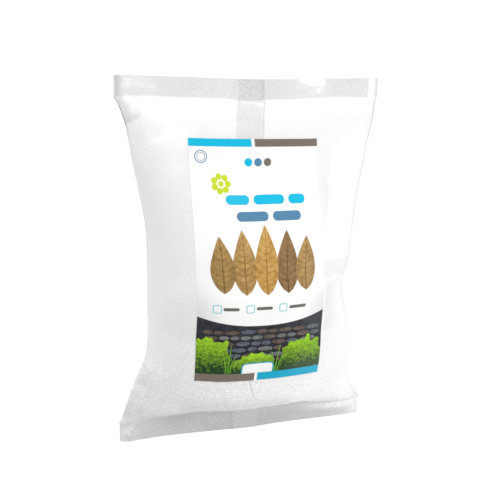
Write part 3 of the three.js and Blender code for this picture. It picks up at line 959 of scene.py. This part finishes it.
stack = {
    "count": 20,
    "length": 148,
    "width": 92,
    "thickness": 0.6,
    "ribDepth": 0.4,
    "ribReach": 1.6,
    "bed": 1.2,  # height of the lowest leaf
    "pitch": 1.45,
    "stalkHalf": 1.4,
    "stalkShare": 0.08,
    "spread": 4,
    "turn": 8,
    "y": -7,
    "troughRadius": 190,
    "troughRise": 7,
    "troughReach": 75,
    "troughPower": 2.2,
    "seed": 7,
    "rows": 46,
    "columns": 13,
    "veins": 9,
    "veinHeight": 0.08,
    "veinReach": 0.12,
    "veinSlant": 0.16,
}


def seededDraws(seed):
    state = seed
    while True:
        state = state * 16807 % 2147483647
        yield 2 * state / 2147483647 - 1


def makeLeaves(materials):
    draw = seededDraws(stack["seed"])
    for i in range(stack["count"]):
        length = stack["length"] * (0.95 + 0.05 * next(draw))
        width = stack["width"] * (0.94 + 0.06 * next(draw))
        turn = (math.pi if i % 2 else 0) + math.radians(stack["turn"] * next(draw))
        shiftX, shiftY = stack["spread"] * next(draw), stack["spread"] * next(draw)
        side, share = np.meshgrid(np.linspace(-1, 1, stack["columns"]), np.linspace(0, 1, stack["rows"]))
        blade = np.maximum(0, (share - stack["stalkShare"]) / (1 - stack["stalkShare"]))
        outline = np.sin(math.pi * np.minimum(blade, 0.995) ** 1.35) ** 0.8
        half = np.maximum(stack["stalkHalf"], width / 2 * outline)
        along = (share - 0.5) * length
        x = shiftX + side * half * math.cos(turn) - along * math.sin(turn)
        y = stack["y"] + shiftY + side * half * math.sin(turn) + along * math.cos(turn)
        rise = stack["troughRise"] * (np.abs(y - stack["y"]) / stack["troughReach"]) ** stack["troughPower"]
        bed = stack["bed"] + i * stack["pitch"] + x ** 2 / (2 * stack["troughRadius"]) + rise
        rib = stack["ribDepth"] * np.exp(-(side * half / stack["ribReach"]) ** 2)
        fan = (share - stack["veinSlant"] * np.abs(side)) * stack["veins"]
        veins = np.exp(-((fan - np.round(fan)) / stack["veinReach"]) ** 2) * (np.abs(side) < 0.95)
        thin = stack["thickness"] * (0.62 + 0.38 * np.exp(-(side * half / 4) ** 2))
        upper = np.stack([x, y, bed + thin + stack["veinHeight"] * veins], axis=2)
        lower = np.stack([x, y, bed - rib], axis=2)
        name = f"{i + 1:02d}"
        piece = slabPiece(f"dry_leaf_{name}", upper, lower, materials[i % len(materials)], 60)
        storeValues(piece, "rim", np.abs(side))
        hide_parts(f"leaf_{name}")


def leafMaterial(name, middle, rimTone, fleckTone):
    # Dried leaf blade, leathery and brittle: dull, mottled in blotches a few millimetres wide,
    # darker towards its rim
    material, tree, shader, place = newMaterial(name, 0.72, 0.35)
    rim = addNode(tree, "Attribute", output="Fac", attribute_name="rim")
    blotches, flecks = (addNode(tree, "TexNoise", {
        "Vector": place, "Scale": 1 / (size * mm), "Detail": 3, "Roughness": 0.6}, "Fac")
        for size in (7, 1.2))
    blotted = addNode(tree, "MapRange", {"Value": blotches, "From Min": 0.42, "From Max": 0.62}, "Result")
    rimmed = addNode(tree, "MapRange", {"Value": rim, "From Min": 0.7, "To Max": 0.7}, "Result")
    tone = addNode(tree, "Mix", {0: blotted, 6: middle, 7: fleckTone}, 2, data_type="RGBA")
    tone = addNode(tree, "Mix", {0: rimmed, 6: tone, 7: rimTone}, 2, data_type="RGBA")
    tree.links.new(tone, shader.inputs["Base Color"])
    bump = addNode(tree, "Bump", {"Height": flecks, "Strength": 0.6, "Distance": 0.1 * mm}, "Normal")
    tree.links.new(bump, shader.inputs["Normal"])
    return material


# Floor, lights and camera

studio = {
    "floorSize": 6,  # metres
    "floorColour": "#A8A8A8",
    "floorGlow": 0.71,
    "skyStrength": 0.71,
    "lightSize": 1,
    # watts and place
    "lights": {
        "right": (4.85, (1.306, 0, 1.088)),
        "top": (9.3, (0, 1.306, 1.088)),
        "low_right": (4.65, (1.168, -1.168, 0.406)),
    },
    "lens": 60.396,
    "eye": (-165.94, 155.83, 561.69),
    "azimuth": 17.494,
    "elevation": 14.949,
    "roll": 1.57,
}


def makeStudio():
    size = studio["floorSize"] / 2
    mesh = bpy.data.meshes.new("floor")
    corners = [(x * size, y * size, -0.0003) for x, y in ((-1, -1), (1, -1), (1, 1), (-1, 1))]
    mesh.from_pydata(corners, [], [(0, 1, 2, 3)])
    floor = newObject("floor", mesh)
    # White seamless paper, lit from below as on a product table
    material, tree, shader, place = newMaterial("white_seamless_paper", 0.9, 0.1)
    cloud = addNode(tree, "TexNoise", {"Vector": place, "Scale": 1 / (400 * mm)}, "Fac")
    colour = studio["floorColour"]
    tone = addNode(tree, "Mix", {0: cloud, 6: colour, 7: toLinear(colour, 0.98)}, 2, data_type="RGBA")
    tree.links.new(tone, shader.inputs["Base Color"])
    shader.inputs["Emission Strength"].default_value = studio["floorGlow"]
    mesh.materials.append(material)

    world = bpy.data.worlds.new("studio")
    world.use_nodes = True
    sky = world.node_tree.nodes["Background"]
    sky.inputs["Color"].default_value = (1, 1, 1, 1)
    sky.inputs["Strength"].default_value = studio["skyStrength"]
    bpy.context.scene.world = world

    for name, (power, place) in studio["lights"].items():
        light = bpy.data.lights.new(name, "AREA")
        light.shape = "DISK"
        light.size = studio["lightSize"]
        light.energy = power
        lamp = newObject(name, light)
        lamp.location = place
        lamp.rotation_euler = (Vector((0, 0, 0.03)) - lamp.location).to_track_quat("-Z", "Y").to_euler()

    az, el, roll = (math.radians(studio[n]) for n in ("azimuth", "elevation", "roll"))
    back = Vector((-math.sin(az) * math.cos(el), math.sin(el), math.cos(az) * math.cos(el)))
    side = Vector((0, 1, 0)).cross(back).normalized()
    up = back.cross(side)
    across = math.cos(roll) * side + math.sin(roll) * up
    top = -math.sin(roll) * side + math.cos(roll) * up
    data = bpy.data.cameras.new("camera")
    data.lens = studio["lens"]
    data.clip_start = 0.01
    camera = newObject("camera", data)
    turned = Matrix((across, top, back)).transposed().to_4x4()
    camera.matrix_world = Matrix.Translation([c * mm for c in studio["eye"]]) @ turned
    bpy.context.scene.camera = camera
    bpy.context.scene.view_settings.view_transform = "Standard"


makeStudio()
print("studio ready")
makeFilm(filmMaterial())
print("film ready")
makeLabel(labelMaterial())
print("label ready")
makePrint()
print("print ready")
makeLeaves([
    leafMaterial("tan_dried_leaf", "#A9773F", "#6E4A26", "#8C5F30"),
    leafMaterial("dark_dried_leaf", "#80552F", "#52361D", "#6A4626"),
])
print("leaves ready")
